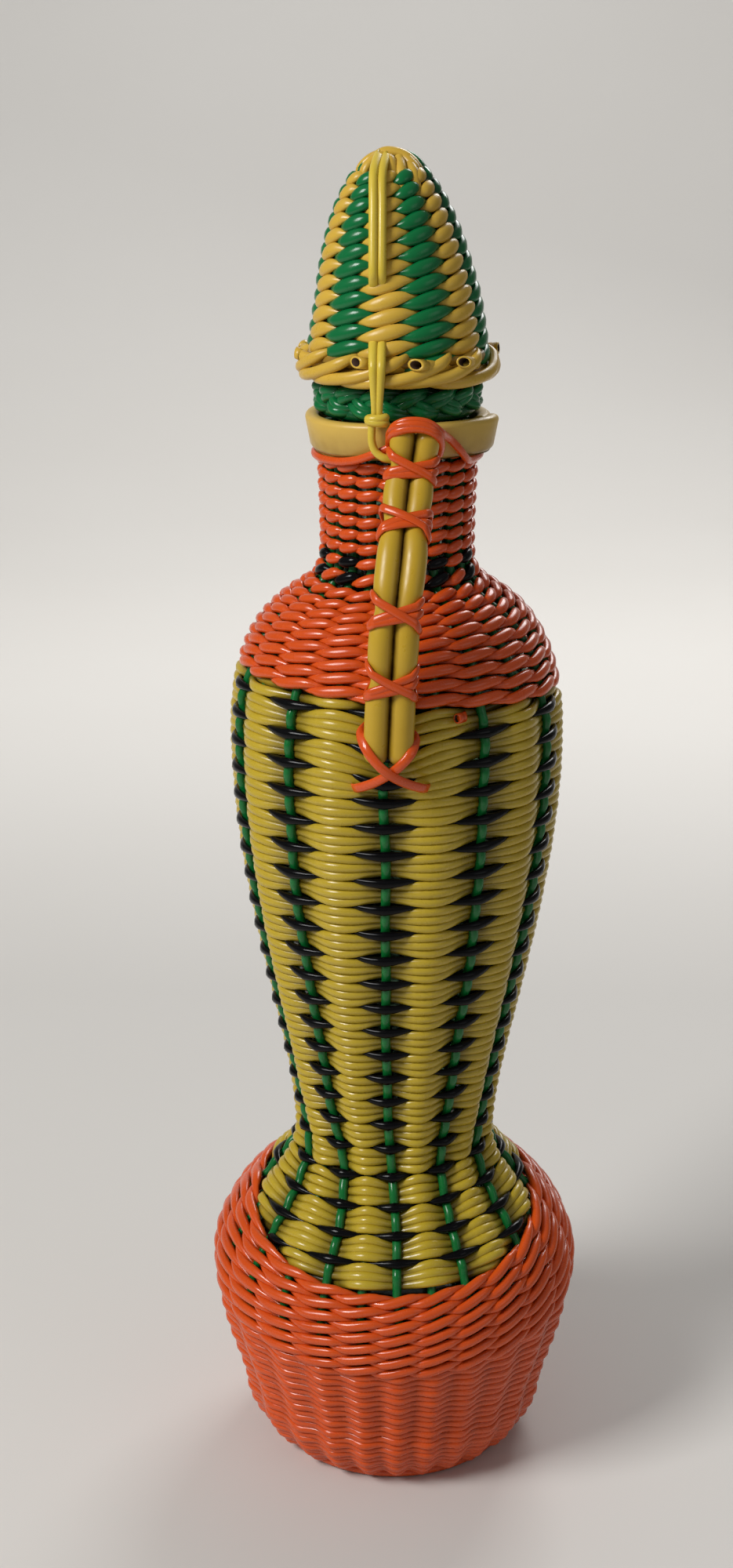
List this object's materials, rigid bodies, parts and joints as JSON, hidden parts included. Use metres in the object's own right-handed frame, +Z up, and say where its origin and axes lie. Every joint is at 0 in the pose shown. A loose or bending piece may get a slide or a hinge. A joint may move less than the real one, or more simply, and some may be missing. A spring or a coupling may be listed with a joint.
{
  "type": "cord-wrapped bottle",
  "caption": "Glass bottle in a woven cover of plastic cord, with a bulbous foot, narrow waist, corded tube handle and a tethered woven cone cap on a cork stopper.",
  "frame": {"origin": "on the bottle's axis at the flat underside of the woven base", "axes": "+Z up along the bottle's axis, -Y towards the handle, +X to the right of someone facing the handle"},
  "size_m": [0.0942, 0.097, 0.33],
  "materials": {
    "glass": "clear, slightly green bottle glass",
    "cork": "matt natural cork",
    "orange_cord": "glossy soft PVC cord",
    "yellow_cord": "glossy soft PVC cord",
    "black_cord": "glossy soft PVC cord",
    "green_cord": "glossy soft PVC cord",
    "cream_cord": "glossy soft PVC cord",
    "yellow_tube": "glossy soft PVC tube"
  },
  "bodies": {
    "bottle": {"glass_bottle": "glass", "base_weave": "orange_cord", "base_disc": "orange_cord", "shoulder_weave": "orange_cord", "neck_weave": "orange_cord", "neck_ring": "orange_cord", "handle_binding_1": "orange_cord", "handle_binding_2": "orange_cord", "handle_binding_3": "orange_cord", "handle_binding_4": "orange_cord", "handle_top_lashing": "orange_cord", "handle_foot_lashing": "orange_cord", "yellow_winding": "yellow_cord", "cap_tether": "yellow_cord", "tether_knot": "yellow_cord", "black_winding": "black_cord", "neck_accent": "black_cord", "stake_over_01": "green_cord", "stake_over_02": "green_cord", "stake_over_03": "green_cord", "stake_over_04": "green_cord", "stake_over_05": "green_cord", "stake_over_06": "green_cord", "stake_over_07": "green_cord", "stake_over_08": "green_cord", "stake_over_09": "green_cord", "stake_over_10": "green_cord", "stake_under_01": "green_cord", "stake_under_02": "green_cord", "stake_under_03": "green_cord", "stake_under_04": "green_cord", "stake_under_05": "green_cord", "stake_under_06": "green_cord", "stake_under_07": "green_cord", "stake_under_08": "green_cord", "stake_under_09": "green_cord", "stake_under_10": "green_cord", "rim_braid": "green_cord", "collar_band": "cream_cord", "handle_tube_left": "yellow_tube", "handle_tube_right": "yellow_tube"},
    "cap": {"cap_weave": "cream_cord", "cap_brim": "cream_cord", "cork_stopper": "cork"}
  },
  "joints": [
    {"name": "cap_lift", "type": "slide", "parent": "bottle", "child": "cap", "axis": [0, 0, 1], "range_m": [0, 0.032], "deforming": ["cap_tether"]}
  ]
}
